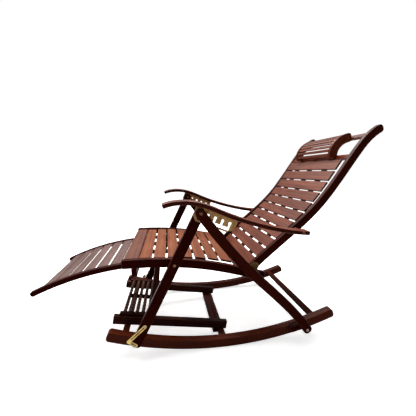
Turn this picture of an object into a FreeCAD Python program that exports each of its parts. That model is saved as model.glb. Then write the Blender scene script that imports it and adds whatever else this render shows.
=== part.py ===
import FreeCAD, Part
import math
import os
from FreeCAD import Vector

# Folding rocking recliner of bamboo boards and slats.
# Side view: X runs from the footrest to the head, Z is up. The chair is the
# same on both sides of Y = 0. All sizes are in millimetres.

# Side-view pivots, X and Z
FOOT_PIVOT = (410.5, 76.0)      # rear leg on the rocker
TOP_PIVOT = (-74.5, 627.0)      # front and rear legs
LATCH_STUD = (-344.5, 78.0)     # front leg's foot beside the rocker
BACK_PIVOT = (153.5, 343.0)     # back rails on the seat rails
ARM_PIVOT = (360.5, 531.0)      # armrest on the back rail
SEAT_PIVOT_DROP = 238.4         # seat pivot below the top pivot, along the front leg

# Layers across the chair, half widths measured from the middle
BACK_RAIL_INNER = 234.0
BOARD_THICK = 22.0              # legs, seat rails and back rails
LAYER_GAP = 1.6                 # running gap between two wooden layers
ROCKER_THICK = 34.0
NOTCH_PLATE_THICK = 3.0
PLATE_CLEARANCE = 0.5
SEATED_GAP = 0.3                # running gap of a part that turns on its seat
PIN_CLEARANCE = 0.05            # radial clearance of a turning pin

# Boards of the two frames
FRONT_LEG_DEPTH = 42.0
REAR_LEG_DEPTH = 40.0
SEAT_RAIL_DEPTH = 37.0
SEAT_END_ROUND = 8.0
BACK_RAIL_DEPTH = 36.0
LONG_EDGE_ROUND = 3.0
END_ROUND_SHARE = 0.42          # end rounding as a share of a board's depth
BACK_LENGTH = 887.2             # back pivot to the tip of the back rail
BACK_ANGLE = 46.6               # of that line above the horizontal
BACK_LOW_REACH = 14.0           # back rail below its pivot
SEAT_FRONT_REACH = 53.3         # seat rail ahead of the bar that carries the footrest
SEAT_REAR_REACH = 64.0          # seat rail behind the back pivot
SEAT_FRONT_DROP = 37.0          # its front end below the line of its pivots
SEAT_BOW = 8.0                  # its middle above that line
BACK_BOW = 33.0                 # back rail's middle behind its ends
REAR_LEG_BOW = 13.0
LEG_TOP_REACH = 18.0            # leg beyond the top pivot
REAR_LEG_FOOT_REACH = 20.0      # leg beyond the foot pivot
FRONT_LEG_FOOT_REACH = 12.0     # leg beyond the stud
LEG_TIE_DROP = 447.0            # front leg cross board below the top pivot
LEG_TIE_DEPTH = 30.0
LEG_TIE_THICK = 18.0

# Rockers and cross boards
ROCKER_MIDDLE_X = 56.5
ROCKER_HALF_LENGTH = 528.0
ROCKER_RADIUS = 1540.0          # underside
ROCKER_DEPTH = 42.0
ROCKER_END_ROUND = 14.0
BASE_BOARD_THICK = 18.0
FRONT_BOARD_X = -403.0
FRONT_BOARD_WIDTH = 28.0
MIDDLE_BOARD_X = 29.0
MIDDLE_BOARD_WIDTH = 52.0
MIDDLE_BOARD_STEP = 23.0        # front part that ends at the massage rails
GROOVE_WIDTH = 7.0              # along the middle board, between the massage rails
GROOVE_DEPTH = 4.0
REAR_BOARD_X = 490.0
REAR_BOARD_WIDTH = 26.0
REAR_BOARD_DROP = 2.0           # its top below the rockers' tops
FLOOR_CLEARANCE = 5.0           # middle board above the floor
SPACER_LENGTH = 76.0
SPACER_DEPTH = 28.0
SPACER_RISE = 12.0              # its top above the rocker's top

# Foot massager
MASSAGE_HALF_WIDTH = 182.0
MASSAGE_RAIL_THICK = 24.0
MASSAGE_RAIL_DEPTH = 39.0
MASSAGE_RAIL_OVERHANG = 66.5    # ahead of the front board
MASSAGE_RAIL_TAIL = 39.5        # behind the middle board
CASSETTE_LENGTH = 150.0
CASSETTE_SET_BACK = 25.0        # cassette behind the front of its rails
CASSETTE_INSET = 3.0
CASSETTE_BAR_DEPTH = 14.0
CASSETTE_BAR_THICK = 22.0
MIDDLE_BAR_THICK = 12.0
MIDDLE_BAR_DEPTH = 18.0
MIDDLE_BAR_RISE = 4.5           # its top above the axles
MIDDLE_BAR_MARGIN = 8.0         # beyond the outer axles
ROLLER_COUNT = 5
ROLLER_PITCH = 27.5
ROLLER_RADIUS = 9.0
ROLLER_NECK_RADIUS = 6.0
ROLLER_BEADS = 6
AXLE_RADIUS = 3.0
AXLE_GRIP = 10.0                # axle inside an end bar

# Bolts
BOLT_RADIUS = 4.5
BOLT_HEAD_RADIUS = 6.6
BOLT_HEAD_THICK = 3.0
BOLT_HEAD_ROUND = 1.0
THIN_HEAD_THICK = 1.6
WASHER_THICK = 1.0
WASHER_RADIUS = 13.0
SLEEVE_RADIUS = 8.0
HINGE_PLATE_LENGTH = 36.0       # beyond the back pivot
LATCH_SCREW_BITE = 18.0         # latch screw inside the front leg
LATCH_HEAD_THICK = 1.0

# Slats and battens
BATTEN_WIDTH = 24.0
BATTEN_DEPTH = 14.0
BATTEN_SPREAD = 125.0           # outer battens from the middle one
BATTEN_BITE = 0.2               # batten let into each slat
BATTEN_POINTS = 9
SLAT_THICK = 9.0
SLAT_ROUND = 2.0
SEAT_SLAT_HALF = 246.0
SEAT_SLAT_COUNT = 7
SEAT_SLAT_PITCH = 57.5
SEAT_SLAT_WIDTH = 49.5
NOSE_WIDTH = 62.0
NOSE_THICK = 16.0
NOSE_ROUND = 6.0
SEAT_PROUD_FRONT = 11.0         # slat tops above the rail's centre line, front
SEAT_PROUD_REAR = 27.0
BACK_SLAT_HALF = 221.0
BACK_SLAT_COUNT = 11
BACK_SLAT_PITCH = 61.0
BACK_SLAT_WIDTH = 53.0
BACK_SLAT_START = 52.0          # first slat's middle from the rail's low end
BACK_PROUD_LOW = 6.0
BACK_PROUD_HIGH = 25.0
CROSS_BAR_WIDTH = 24.0
CROSS_BAR_THICK = 14.0
SEAT_BAR_DISTANCE = 45.6        # rear bar ahead of the back pivot, along the rail
BACK_BAR_DISTANCE = 40.0        # low bar from the low end of the back rail

# Footrest
FOOTREST_HALF_WIDTH = 207.0
FOOTREST_RAIL_DEPTH = 22.0
FOOTREST_RADIUS = 1100.0        # arc that it slides on
FOOTREST_ARC_TOP = (-297.5, 389.0)
FOOTREST_TIP_X = -766.5
FOOTREST_LENGTH = 498.0
FOOTREST_SLAT_COUNT = 8
FOOTREST_SLAT_PITCH = 56.5
FOOTREST_SLAT_THICK = 6.0
FOOTREST_SLAT_WIDTH = 47.5
FOOTREST_SLAT_START = 64.0
FOOTREST_SLAT_DROP = 5.0        # slat tops below the rails' tops
FOOTREST_STOP_WIDTH = 18.0
FOOTREST_STOP_DEPTH = 16.0
HANGER_REACH = 441.0            # footrest bar from the footrest's tip, along its arc
HANGER_WIDTH = 22.0
FOOTREST_BAR_THICK = 10.0
HANGER_RISE = 60.0
HANGER_GAP = 0.15               # hanger below the seat rail's curved underside

# Head pillow and head bars
HEAD_BAR_WIDTH = 25.0
HEAD_BAR_THICK = 14.0
HEAD_BAR_RISE = 14.0            # bar tops above the rail's centre line
LOWER_HEAD_BAR = 712.0          # from the low end of the back rail, along it
UPPER_HEAD_BAR = 834.0
PILLOW_HALF_WIDTH = 155.0
PILLOW_PLATE_THICK = 16.0
PILLOW_PLATE_DEPTH = 43.0
PILLOW_RISE = 33.0              # middle of the arch above the bar tops
PILLOW_SLAT_COUNT = 8
PILLOW_SLAT_WIDTH = 14.5
PILLOW_SLAT_THICK = 6.0
PILLOW_SLAT_DROP = 3.0          # slat tops below the plates' tops
PILLOW_END_ROUND = 14.0

# Armrests and their notched plates
ARM_WIDTH = 50.0
ARM_THICK = 17.0
ARM_LENGTH = 594.3              # arm pivot to the front tip
ARM_REAR_REACH = 30.0
ARM_BOW = 34.0                  # lowest point of the arm below its line
ARM_END_ROUND = 3.5
ARM_ANGLE = 167.86              # of that line above +X
NOTCH_COUNT = 5
NOTCH_PITCH = 32.5
NOTCH_LINE_ANGLE = -22.1
NOTCH_RADIUS = 6.3
NOTCH_NECK = 9.0
NOTCH_DEPTH = 18.0              # notch head to the long window
WINDOW_HEIGHT = 12.0
PLATE_BAR = 7.5                 # metal below the window
PLATE_FRONT_REACH = 25.0
PLATE_REAR_REACH = 28.0
PLATE_TOP_REACH = 40.0
PLATE_CORNER = 18.0             # bevel of the plate's lower corners

# Foot latch
LATCH_SCREW_UP = 90.0           # latch screw above the stud, along the front leg
LATCH_CORNER = (-372.5, 99.0)
LATCH_WIDTH = 14.0
LATCH_SLOT = 4.5
LATCH_THICK = 2.0

SEAT_RAIL_INNER = BACK_RAIL_INNER + BOARD_THICK + LAYER_GAP
SEAT_RAIL_OUTER = SEAT_RAIL_INNER + BOARD_THICK
ROCKER_INNER = SEAT_RAIL_OUTER - ROCKER_THICK
FRONT_LEG_INNER = SEAT_RAIL_OUTER + LAYER_GAP
FRONT_LEG_OUTER = FRONT_LEG_INNER + BOARD_THICK
NOTCH_PLATE_INNER = FRONT_LEG_OUTER + PLATE_CLEARANCE
NOTCH_PLATE_OUTER = NOTCH_PLATE_INNER + NOTCH_PLATE_THICK
REAR_LEG_INNER = NOTCH_PLATE_OUTER + PLATE_CLEARANCE
REAR_LEG_OUTER = REAR_LEG_INNER + BOARD_THICK
ARM_INNER = (NOTCH_PLATE_INNER + NOTCH_PLATE_OUTER - ARM_WIDTH) / 2
ARM_OUTER = ARM_INNER + ARM_WIDTH
BACK_RAIL_OUTER = BACK_RAIL_INNER + BOARD_THICK


def flat(pair):
    """A side-view X, Z pair as a point on the middle plane."""
    return Vector(pair[0], 0, pair[1])


def heading(degrees):
    """Unit side-view direction at an angle above +X."""
    angle = math.radians(degrees)
    return Vector(math.cos(angle), 0, math.sin(angle))


def upward(direction):
    """Side-view direction turned a quarter turn anticlockwise."""
    return Vector(-direction.z, 0, direction.x)


def angle_of(direction):
    return math.degrees(math.atan2(direction.z, direction.x))


def bowed(start, direction, stations):
    """Points at each distance along a line and each offset to its left."""
    side = upward(direction)
    return [start + direction * along + side * bow for along, bow in stations]


def curve_through(points):
    curve = Part.BSplineCurve()
    curve.interpolate(points)
    return curve


def station(curve, distance, offset=0.0):
    """Point and direction at a distance along a curve, moved to its left."""
    parameter = curve.parameterAtDistance(distance, curve.FirstParameter)
    direction = curve.tangent(parameter)[0]
    return curve.value(parameter) + upward(direction) * offset, direction


def beside(points, offset):
    """The points moved to the left of the curve through them."""
    curve = curve_through(points)
    moved = []
    for point in points:
        direction = curve.tangent(curve.parameter(point))[0]
        moved.append(point + upward(direction) * offset)
    return moved


def extruded(edges, inner, thickness):
    """Solid between two planes across the chair, from side-view edges."""
    face = Part.Face(Part.Wire(edges))
    solid = face.extrude(Vector(0, thickness, 0))
    solid.translate(Vector(0, inner, 0))
    return solid


def round_ends(solid, radius):
    """Rounds the four edges that run across a board's ends."""
    chosen = []
    for edge in solid.Edges:
        first, last = edge.Vertexes[0].Point, edge.Vertexes[-1].Point
        if abs(first.y - last.y) > 0.5 and abs(first.x - last.x) + abs(first.z - last.z) < 0.01:
            chosen.append(edge)
    return solid.makeFillet(radius, chosen)


def round_rims(solid, radius):
    """Rounds the rims of a board's two side faces."""
    low = min(vertex.Point.y for vertex in solid.Vertexes)
    high = max(vertex.Point.y for vertex in solid.Vertexes)
    chosen = []
    for edge in solid.Edges:
        box = edge.BoundBox
        if box.YLength < 0.01 and (abs(box.YMin - low) < 0.01 or abs(box.YMin - high) < 0.01):
            chosen.append(edge)
    return solid.makeFillet(radius, chosen)


def board_blank(points, depth, inner, thickness):
    """Square-edged board of even depth along a side-view curve."""
    upper = beside(points, depth / 2)
    lower = beside(points, -depth / 2)
    edges = [
        curve_through(upper).toShape(),
        Part.makeLine(upper[-1], lower[-1]),
        curve_through(lower).toShape(),
        Part.makeLine(lower[0], upper[0]),
    ]
    return extruded(edges, inner, thickness)


def curved_board(points, depth, inner, thickness, end_round):
    """Board along a side-view curve, with rounded ends and rims."""
    blank = board_blank(points, depth, inner, thickness)
    return round_rims(round_ends(blank, end_round), LONG_EDGE_ROUND)


def straight_board(start, end, depth, inner, thickness, end_round):
    middle = (start + end) / 2
    return curved_board([start, middle, end], depth, inner, thickness, end_round)


def plank(middle, direction, width, thickness, low, high, rounding):
    """Box across the chair whose top face is centred on a side-view point."""
    box = Part.makeBox(width, high - low, thickness, Vector(-width / 2, low, -thickness))
    if rounding > 0:
        box = box.makeFillet(rounding, box.Edges)
    box.rotate(Vector(0, 0, 0), Vector(0, 1, 0), -angle_of(direction))
    box.translate(middle)
    return box


def round_long_edges(solid, radius):
    """Rounds the long edges of a board that runs across the chair."""
    chosen = [edge for edge in solid.Edges if edge.BoundBox.YLength > solid.BoundBox.YLength / 2]
    return solid.makeFillet(radius, chosen)


def arc_board(low, high, inner, thickness, end_round):
    """Board between two concentric arcs, each given by three points."""
    edges = [
        Part.Arc(low[0], low[1], low[2]).toShape(),
        Part.makeLine(low[2], high[2]),
        Part.Arc(high[2], high[1], high[0]).toShape(),
        Part.makeLine(high[0], low[0]),
    ]
    blank = extruded(edges, inner, thickness)
    return round_rims(round_ends(blank, end_round), LONG_EDGE_ROUND)


def cross_bar(curve, distance, rise, width, thickness, half):
    """Bar across the chair whose top lies above a rail's centre line."""
    middle, direction = station(curve, distance, rise)
    bar = plank(middle, direction, width, thickness, -half, half, 0)
    return round_long_edges(bar, SLAT_ROUND)


def pin(point, radius, low, high):
    """Round bar across the chair."""
    return Part.makeCylinder(radius, high - low, Vector(point.x, low, point.z), Vector(0, 1, 0))


def other_side(shape):
    return shape.mirror(Vector(0, 0, 0), Vector(0, 1, 0))


def save(name, solids):
    shape = solids[0] if len(solids) == 1 else Part.makeCompound(solids)
    shape.exportStep("parts/" + name + ".step")


def save_pair(name, shape):
    """The sitter's right side lies at +Y, and the left side mirrors it."""
    save(name + "_right", [shape])
    save(name + "_left", [other_side(shape)])


def save_both(name, solids):
    save(name, solids + [other_side(solid) for solid in solids])


foot_pivot = flat(FOOT_PIVOT)
top_pivot = flat(TOP_PIVOT)
latch_stud = flat(LATCH_STUD)
back_pivot = flat(BACK_PIVOT)
arm_pivot = flat(ARM_PIVOT)
leg_down = (latch_stud - top_pivot).normalize()
seat_pivot = top_pivot + leg_down * SEAT_PIVOT_DROP
seat_line = (back_pivot - seat_pivot).normalize()
seat_span = seat_pivot.distanceToPoint(back_pivot)
back_line = heading(BACK_ANGLE)
arm_line = heading(ARM_ANGLE)


def rocker_point(x, height):
    """Point a given height above the underside's arc, and the arc's direction."""
    lean = math.asin((x - ROCKER_MIDDLE_X) / ROCKER_RADIUS)
    radius = ROCKER_RADIUS - height
    point = Vector(ROCKER_MIDDLE_X + radius * math.sin(lean), 0, ROCKER_RADIUS - radius * math.cos(lean))
    return point, Vector(math.cos(lean), 0, math.sin(lean))


def make_rocker():
    front = ROCKER_MIDDLE_X - ROCKER_HALF_LENGTH
    rear = ROCKER_MIDDLE_X + ROCKER_HALF_LENGTH
    low = [rocker_point(x, 0)[0] for x in (front, ROCKER_MIDDLE_X, rear)]
    high = [rocker_point(x, ROCKER_DEPTH)[0] for x in (front, ROCKER_MIDDLE_X, rear)]
    rocker = arc_board(low, high, ROCKER_INNER, ROCKER_THICK, ROCKER_END_ROUND)
    stud = pin(latch_stud, BOLT_RADIUS, ROCKER_INNER, SEAT_RAIL_OUTER)
    return rocker.cut(Part.makeCompound([stud, foot_bolt()]))


def foot_bolt():
    head_face = REAR_LEG_OUTER + SEATED_GAP
    shank = pin(foot_pivot, BOLT_RADIUS, ROCKER_INNER, head_face)
    head = pin(foot_pivot, BOLT_HEAD_RADIUS, head_face, head_face + BOLT_HEAD_THICK)
    head = head.makeFillet(BOLT_HEAD_ROUND, [head.Edges[0]])
    return shank.fuse(head).removeSplitter()


def make_spacer():
    """Block that carries the rear leg's foot outside the rocker."""
    middle, direction = rocker_point(FOOT_PIVOT[0] - SPACER_LENGTH / 4, ROCKER_DEPTH + SPACER_RISE)
    block = plank(middle, direction, SPACER_LENGTH, SPACER_DEPTH, SEAT_RAIL_OUTER,
                  REAR_LEG_INNER - SEATED_GAP, 0)
    return block.cut(foot_bolt())


def base_board(x, width, rise):
    """Flat board between the rockers, its top at a height above the underside."""
    middle, direction = rocker_point(x, rise)
    return plank(middle, direction, width, BASE_BOARD_THICK, -ROCKER_INNER, ROCKER_INNER, 0)


def make_base():
    save_pair("rocker", make_rocker())
    save_both("rear_foot_bolts", [foot_bolt()])
    save_both("rear_foot_spacers", [make_spacer()])
    save_both("latch_studs", [pin(latch_stud, BOLT_RADIUS, ROCKER_INNER, FRONT_LEG_INNER - SEATED_GAP)])
    rise = FLOOR_CLEARANCE + BASE_BOARD_THICK
    save("front_base_board", [base_board(FRONT_BOARD_X, FRONT_BOARD_WIDTH, rise)])
    middle, direction = rocker_point(MIDDLE_BOARD_X, rise)
    groove_half = MASSAGE_HALF_WIDTH - MASSAGE_RAIL_THICK
    groove = plank(middle, direction, GROOVE_WIDTH, GROOVE_DEPTH, -groove_half, groove_half, 0)
    step_middle = middle - direction * ((MIDDLE_BOARD_WIDTH - MIDDLE_BOARD_STEP) / 2)
    step = plank(step_middle, direction, MIDDLE_BOARD_STEP, BASE_BOARD_THICK,
                 MASSAGE_HALF_WIDTH, ROCKER_INNER, 0)
    board = base_board(MIDDLE_BOARD_X, MIDDLE_BOARD_WIDTH, rise)
    save("middle_base_board", [board.cut(Part.makeCompound([groove, step, other_side(step)]))])
    save("rear_base_board", [base_board(REAR_BOARD_X, REAR_BOARD_WIDTH,
                                           ROCKER_DEPTH - REAR_BOARD_DROP)])
    return rise


def make_massager(rise):
    """Two tilted rails on the base boards, and a cassette of turned rollers."""
    front = rocker_point(FRONT_BOARD_X, rise)[0]
    rear = rocker_point(MIDDLE_BOARD_X, rise)[0]
    tilt = (rear - front).normalize()
    up = upward(tilt)
    length = front.distanceToPoint(rear) + MASSAGE_RAIL_OVERHANG + MASSAGE_RAIL_TAIL
    rail_middle = front + tilt * (length / 2 - MASSAGE_RAIL_OVERHANG) + up * MASSAGE_RAIL_DEPTH
    inner = MASSAGE_HALF_WIDTH - MASSAGE_RAIL_THICK
    boards = Part.makeCompound([base_board(FRONT_BOARD_X, FRONT_BOARD_WIDTH, rise),
                                base_board(MIDDLE_BOARD_X, MIDDLE_BOARD_WIDTH, rise)])
    rail = plank(rail_middle, tilt, length, MASSAGE_RAIL_DEPTH,
                 inner, MASSAGE_HALF_WIDTH, LONG_EDGE_ROUND)
    save_pair("massage_rail", rail.cut(boards))

    bar_middle = front + tilt * (CASSETTE_LENGTH / 2 - MASSAGE_RAIL_OVERHANG + CASSETTE_SET_BACK)
    bar_top = bar_middle + up * (MASSAGE_RAIL_DEPTH + CASSETTE_BAR_DEPTH)
    axis_line = bar_middle + up * (MASSAGE_RAIL_DEPTH + CASSETTE_BAR_DEPTH / 2)
    outer = MASSAGE_HALF_WIDTH - CASSETTE_INSET
    bar_inner = outer - CASSETTE_BAR_THICK
    axle_points = []
    for index in range(ROLLER_COUNT):
        along = (index - (ROLLER_COUNT - 1) / 2) * ROLLER_PITCH
        axle_points.append(axis_line + tilt * along)
    axle_end = bar_inner + AXLE_GRIP
    axles = [pin(point, AXLE_RADIUS, -axle_end, axle_end) for point in axle_points]
    holes = Part.makeCompound(axles)
    end_bar = plank(bar_top, tilt, CASSETTE_LENGTH, CASSETTE_BAR_DEPTH, bar_inner, outer, SLAT_ROUND)
    end_bar = end_bar.cut(holes)
    half = MIDDLE_BAR_THICK / 2
    middle_length = (ROLLER_COUNT - 1) * ROLLER_PITCH + 2 * MIDDLE_BAR_MARGIN
    middle_bar = plank(axis_line + up * MIDDLE_BAR_RISE, tilt, middle_length, MIDDLE_BAR_DEPTH,
                       -half, half, SLAT_ROUND)
    save("cassette_bars", [end_bar, middle_bar.cut(holes), other_side(end_bar)])
    save("roller_axles", axles)
    for index, point in enumerate(axle_points):
        roller = make_roller(point, half + SEATED_GAP, bar_inner - SEATED_GAP)
        save("massage_roller_" + str(index + 1), [roller, other_side(roller)])


def make_roller(point, low, high):
    """Turned spindle of round beads with a bore for its axle."""
    bead = (high - low) / ROLLER_BEADS
    edges = []
    for index in range(ROLLER_BEADS):
        start = low + index * bead
        edges.append(Part.Arc(Vector(ROLLER_NECK_RADIUS, start, 0),
                              Vector(ROLLER_RADIUS, start + bead / 2, 0),
                              Vector(ROLLER_NECK_RADIUS, start + bead, 0)).toShape())
    bore = AXLE_RADIUS + PIN_CLEARANCE
    edges.append(Part.makeLine(Vector(ROLLER_NECK_RADIUS, high, 0), Vector(bore, high, 0)))
    edges.append(Part.makeLine(Vector(bore, high, 0), Vector(bore, low, 0)))
    edges.append(Part.makeLine(Vector(bore, low, 0), Vector(ROLLER_NECK_RADIUS, low, 0)))
    spindle = Part.Face(Part.Wire(edges)).revolve(Vector(0, 0, 0), Vector(0, 1, 0), 360)
    spindle.translate(point)
    return spindle


def make_rear_legs():
    line = (foot_pivot - top_pivot).normalize()
    span = top_pivot.distanceToPoint(foot_pivot)
    stations = [(-LEG_TOP_REACH, 0), (span * 0.2, -REAR_LEG_BOW), (span * 0.45, -REAR_LEG_BOW * 0.92),
                (span * 0.8, REAR_LEG_BOW * 0.54), (span + REAR_LEG_FOOT_REACH, 0)]
    leg = curved_board(bowed(top_pivot, line, stations), REAR_LEG_DEPTH, REAR_LEG_INNER, BOARD_THICK,
                       REAR_LEG_DEPTH * END_ROUND_SHARE)
    hole = pin(foot_pivot, BOLT_RADIUS + PIN_CLEARANCE, REAR_LEG_INNER, REAR_LEG_OUTER)
    bolt = top_bolt_outer()
    save_pair("rear_leg", leg.cut(Part.makeCompound([hole, bolt])))
    save_both("top_pivot_bolts", [bolt])


def top_bolt_outer():
    """Outer half of the top pivot, stopping short of the notched plate."""
    shank = pin(top_pivot, BOLT_RADIUS, REAR_LEG_INNER, REAR_LEG_OUTER)
    head = pin(top_pivot, BOLT_HEAD_RADIUS, REAR_LEG_OUTER, REAR_LEG_OUTER + THIN_HEAD_THICK)
    return shank.fuse(head).removeSplitter()


def top_bolt_inner():
    """Inner half of the top pivot, with a thin nut on the leg's inner face."""
    shank = pin(top_pivot, BOLT_RADIUS, FRONT_LEG_INNER, FRONT_LEG_OUTER)
    nut_face = FRONT_LEG_INNER - LAYER_GAP + SEATED_GAP
    nut = pin(top_pivot, BOLT_HEAD_RADIUS, nut_face, FRONT_LEG_INNER)
    return shank.fuse(nut).removeSplitter()


def seat_bolt():
    """Bolt through the front leg into the seat rail."""
    head_face = FRONT_LEG_OUTER + SEATED_GAP
    shank = pin(seat_pivot, BOLT_RADIUS, SEAT_RAIL_INNER, head_face)
    head = pin(seat_pivot, BOLT_HEAD_RADIUS, head_face, head_face + THIN_HEAD_THICK)
    return shank.fuse(head).removeSplitter()


def latch_screw_point():
    return latch_stud - leg_down * LATCH_SCREW_UP


def latch_screw():
    head_face = FRONT_LEG_OUTER + LATCH_THICK + 2 * SEATED_GAP
    shank = pin(latch_screw_point(), LATCH_SLOT / 2, FRONT_LEG_OUTER - LATCH_SCREW_BITE, head_face)
    head = pin(latch_screw_point(), LATCH_SLOT, head_face, head_face + LATCH_HEAD_THICK)
    return shank.fuse(head).removeSplitter()


def make_front_legs():
    start = top_pivot - leg_down * LEG_TOP_REACH
    end = latch_stud + leg_down * FRONT_LEG_FOOT_REACH
    end_round = FRONT_LEG_DEPTH * END_ROUND_SHARE
    leg = straight_board(start, end, FRONT_LEG_DEPTH, FRONT_LEG_INNER, BOARD_THICK, end_round)
    seat_hole = pin(seat_pivot, BOLT_RADIUS + PIN_CLEARANCE, FRONT_LEG_INNER, FRONT_LEG_OUTER)
    bolt = top_bolt_inner()
    leg = leg.cut(Part.makeCompound([seat_hole, bolt, latch_screw()]))
    save_pair("front_leg", leg)
    save_both("top_pivot_nuts", [bolt])
    save_both("latch_screws", [latch_screw()])
    tie_top = top_pivot + leg_down * LEG_TIE_DROP
    across = upward(leg_down)
    middle = tie_top - leg_down * (LEG_TIE_THICK / 2)
    tie = plank(middle, across, LEG_TIE_DEPTH, LEG_TIE_THICK, -FRONT_LEG_INNER, FRONT_LEG_INNER, 0)
    save("front_leg_tie", [round_long_edges(tie, SLAT_ROUND)])


def make_latch():
    """Flat L of brass strip with a slot in each arm."""
    screw = latch_screw_point()
    corner = flat(LATCH_CORNER)
    inner = FRONT_LEG_OUTER + SEATED_GAP
    half = LATCH_WIDTH / 2
    slot_half = LATCH_SLOT / 2 + PIN_CLEARANCE
    arms = []
    slots = []
    for start, end in ((screw, corner), (corner, latch_stud)):
        arms.append(rounded_strip(start, end, half, inner, LATCH_THICK))
        line = (end - start).normalize()
        slot_start = start if start is screw else start + line * LATCH_WIDTH
        slot_end = end - line * LATCH_WIDTH if end is corner else end
        slots.append(rounded_strip(slot_start, slot_end, slot_half, inner, LATCH_THICK))
    latch = arms[0].fuse(arms[1]).removeSplitter()
    return latch.cut(Part.makeCompound(slots))


def rounded_strip(start, end, half, inner, thickness):
    """Strip with round ends centred on two side-view points."""
    line = (end - start).normalize()
    side = upward(line)
    edges = [
        Part.makeLine(start + side * half, end + side * half),
        Part.Arc(end + side * half, end + line * half, end - side * half).toShape(),
        Part.makeLine(end - side * half, start - side * half),
        Part.Arc(start - side * half, start - line * half, start + side * half).toShape(),
    ]
    return extruded(edges, inner, thickness)


def seat_rail_points():
    rear = seat_span + SEAT_REAR_REACH
    bar_middle = footrest_point(HANGER_REACH)[0]
    front = (bar_middle - seat_pivot).dot(seat_line) - SEAT_FRONT_REACH
    stations = [(front, -SEAT_FRONT_DROP), (front * 0.58, -SEAT_FRONT_DROP * 0.49),
                (0, 0), (seat_span * 0.3, SEAT_BOW), (seat_span * 0.6, SEAT_BOW),
                (seat_span, 0), (rear, -SEAT_BOW / 4)]
    return bowed(seat_pivot, seat_line, stations)


def back_rail_points():
    stations = [(-BACK_LOW_REACH, BACK_BOW * 0.12), (BACK_LENGTH * 0.148, -BACK_BOW * 0.21),
                (BACK_LENGTH * 0.344, -BACK_BOW * 0.82), (BACK_LENGTH * 0.472, -BACK_BOW),
                (BACK_LENGTH * 0.64, -BACK_BOW * 0.58), (BACK_LENGTH * 0.817, BACK_BOW * 0.18),
                (BACK_LENGTH * 0.905, BACK_BOW * 0.39), (BACK_LENGTH, -BACK_BOW * 0.09)]
    return bowed(back_pivot, back_line, stations)


def mix(low, high, share):
    return low + (high - low) * share


def panel_height(row, distance):
    """Height of a panel's slat tops above the rail's centre line."""
    share = (distance - row["first"]) / (row["pitch"] * (row["count"] - 1))
    return mix(row["low"], row["high"], share)


def make_slats(curve, row):
    """Row of slats across the chair above a rail's curve."""
    slats = []
    for index in range(row["count"]):
        distance = row["first"] + index * row["pitch"]
        middle, direction = station(curve, distance, panel_height(row, distance))
        slat = plank(middle, direction, row["width"], SLAT_THICK, -row["half"], row["half"], SLAT_ROUND)
        slats.append(slat)
    return slats


def make_battens(curve, row, start, end, cutters):
    """Three battens under a row of slats, cut to fit the pieces they meet."""
    points = []
    for index in range(BATTEN_POINTS):
        distance = mix(start, end, index / (BATTEN_POINTS - 1))
        rise = panel_height(row, distance) - SLAT_THICK + BATTEN_BITE - BATTEN_DEPTH / 2
        points.append(station(curve, distance, rise)[0])
    battens = []
    for y in (-BATTEN_SPREAD, 0, BATTEN_SPREAD):
        blank = board_blank(points, BATTEN_DEPTH, y - BATTEN_WIDTH / 2, BATTEN_WIDTH)
        battens.append(largest(blank.cut(Part.makeCompound(cutters))))
    return battens


def largest(shape):
    """The biggest solid of a cut."""
    return max(shape.Solids, key=lambda solid: solid.Volume)


def make_seat():
    points = seat_rail_points()
    rail = curved_board(points, SEAT_RAIL_DEPTH, SEAT_RAIL_INNER, BOARD_THICK, SEAT_END_ROUND)
    bolt = seat_bolt()
    hinge_bolt = back_bolt()
    rail = rail.cut(Part.makeCompound([bolt, hinge_bolt]))
    save_pair("seat_rail", rail)
    save_both("seat_pivot_bolts", [bolt])
    save_both("back_pivot_bolts", [hinge_bolt])
    washer_face = SEAT_RAIL_OUTER + SEATED_GAP
    washer = pin(seat_pivot, WASHER_RADIUS, washer_face, washer_face + WASHER_THICK)
    save_both("seat_pivot_washers", [washer.cut(bolt)])

    curve = curve_through(points)
    nose_middle, nose_direction = station(curve, NOSE_WIDTH / 2, SEAT_PROUD_FRONT)
    nose = plank(nose_middle, nose_direction, NOSE_WIDTH, NOSE_THICK,
                 -SEAT_RAIL_INNER, SEAT_RAIL_INNER, 0)
    nose = round_long_edges(nose, NOSE_ROUND)
    row = {
        "first": NOSE_WIDTH + SEAT_SLAT_PITCH / 2, "pitch": SEAT_SLAT_PITCH, "count": SEAT_SLAT_COUNT,
        "width": SEAT_SLAT_WIDTH, "half": SEAT_SLAT_HALF,
        "low": SEAT_PROUD_FRONT, "high": SEAT_PROUD_REAR,
    }
    slats = make_slats(curve, row)
    bar_distance = curve.length() - SEAT_REAR_REACH - SEAT_BAR_DISTANCE
    bar_rise = panel_height(row, bar_distance) - SLAT_THICK - BATTEN_DEPTH + BATTEN_BITE * 2
    bar = cross_bar(curve, bar_distance, bar_rise, CROSS_BAR_WIDTH, CROSS_BAR_THICK, SEAT_RAIL_INNER)
    batten_end = bar_distance + CROSS_BAR_WIDTH / 2
    battens = make_battens(curve, row, NOSE_WIDTH * 0.7, batten_end, slats + [nose, bar])
    save("seat_slats", slats)
    save("seat_nose_slat", [nose])
    save("seat_battens", battens)
    save("seat_rear_bar", [bar])


def back_bolt():
    """Pin that joins a back rail and its hinge plate to the seat rail."""
    nut_face = BACK_RAIL_INNER - SEATED_GAP
    shank = pin(back_pivot, BOLT_RADIUS, nut_face, SEAT_RAIL_OUTER)
    nut = pin(back_pivot, BOLT_HEAD_RADIUS, nut_face - BOLT_HEAD_THICK, nut_face)
    return shank.fuse(nut).removeSplitter()


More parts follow.
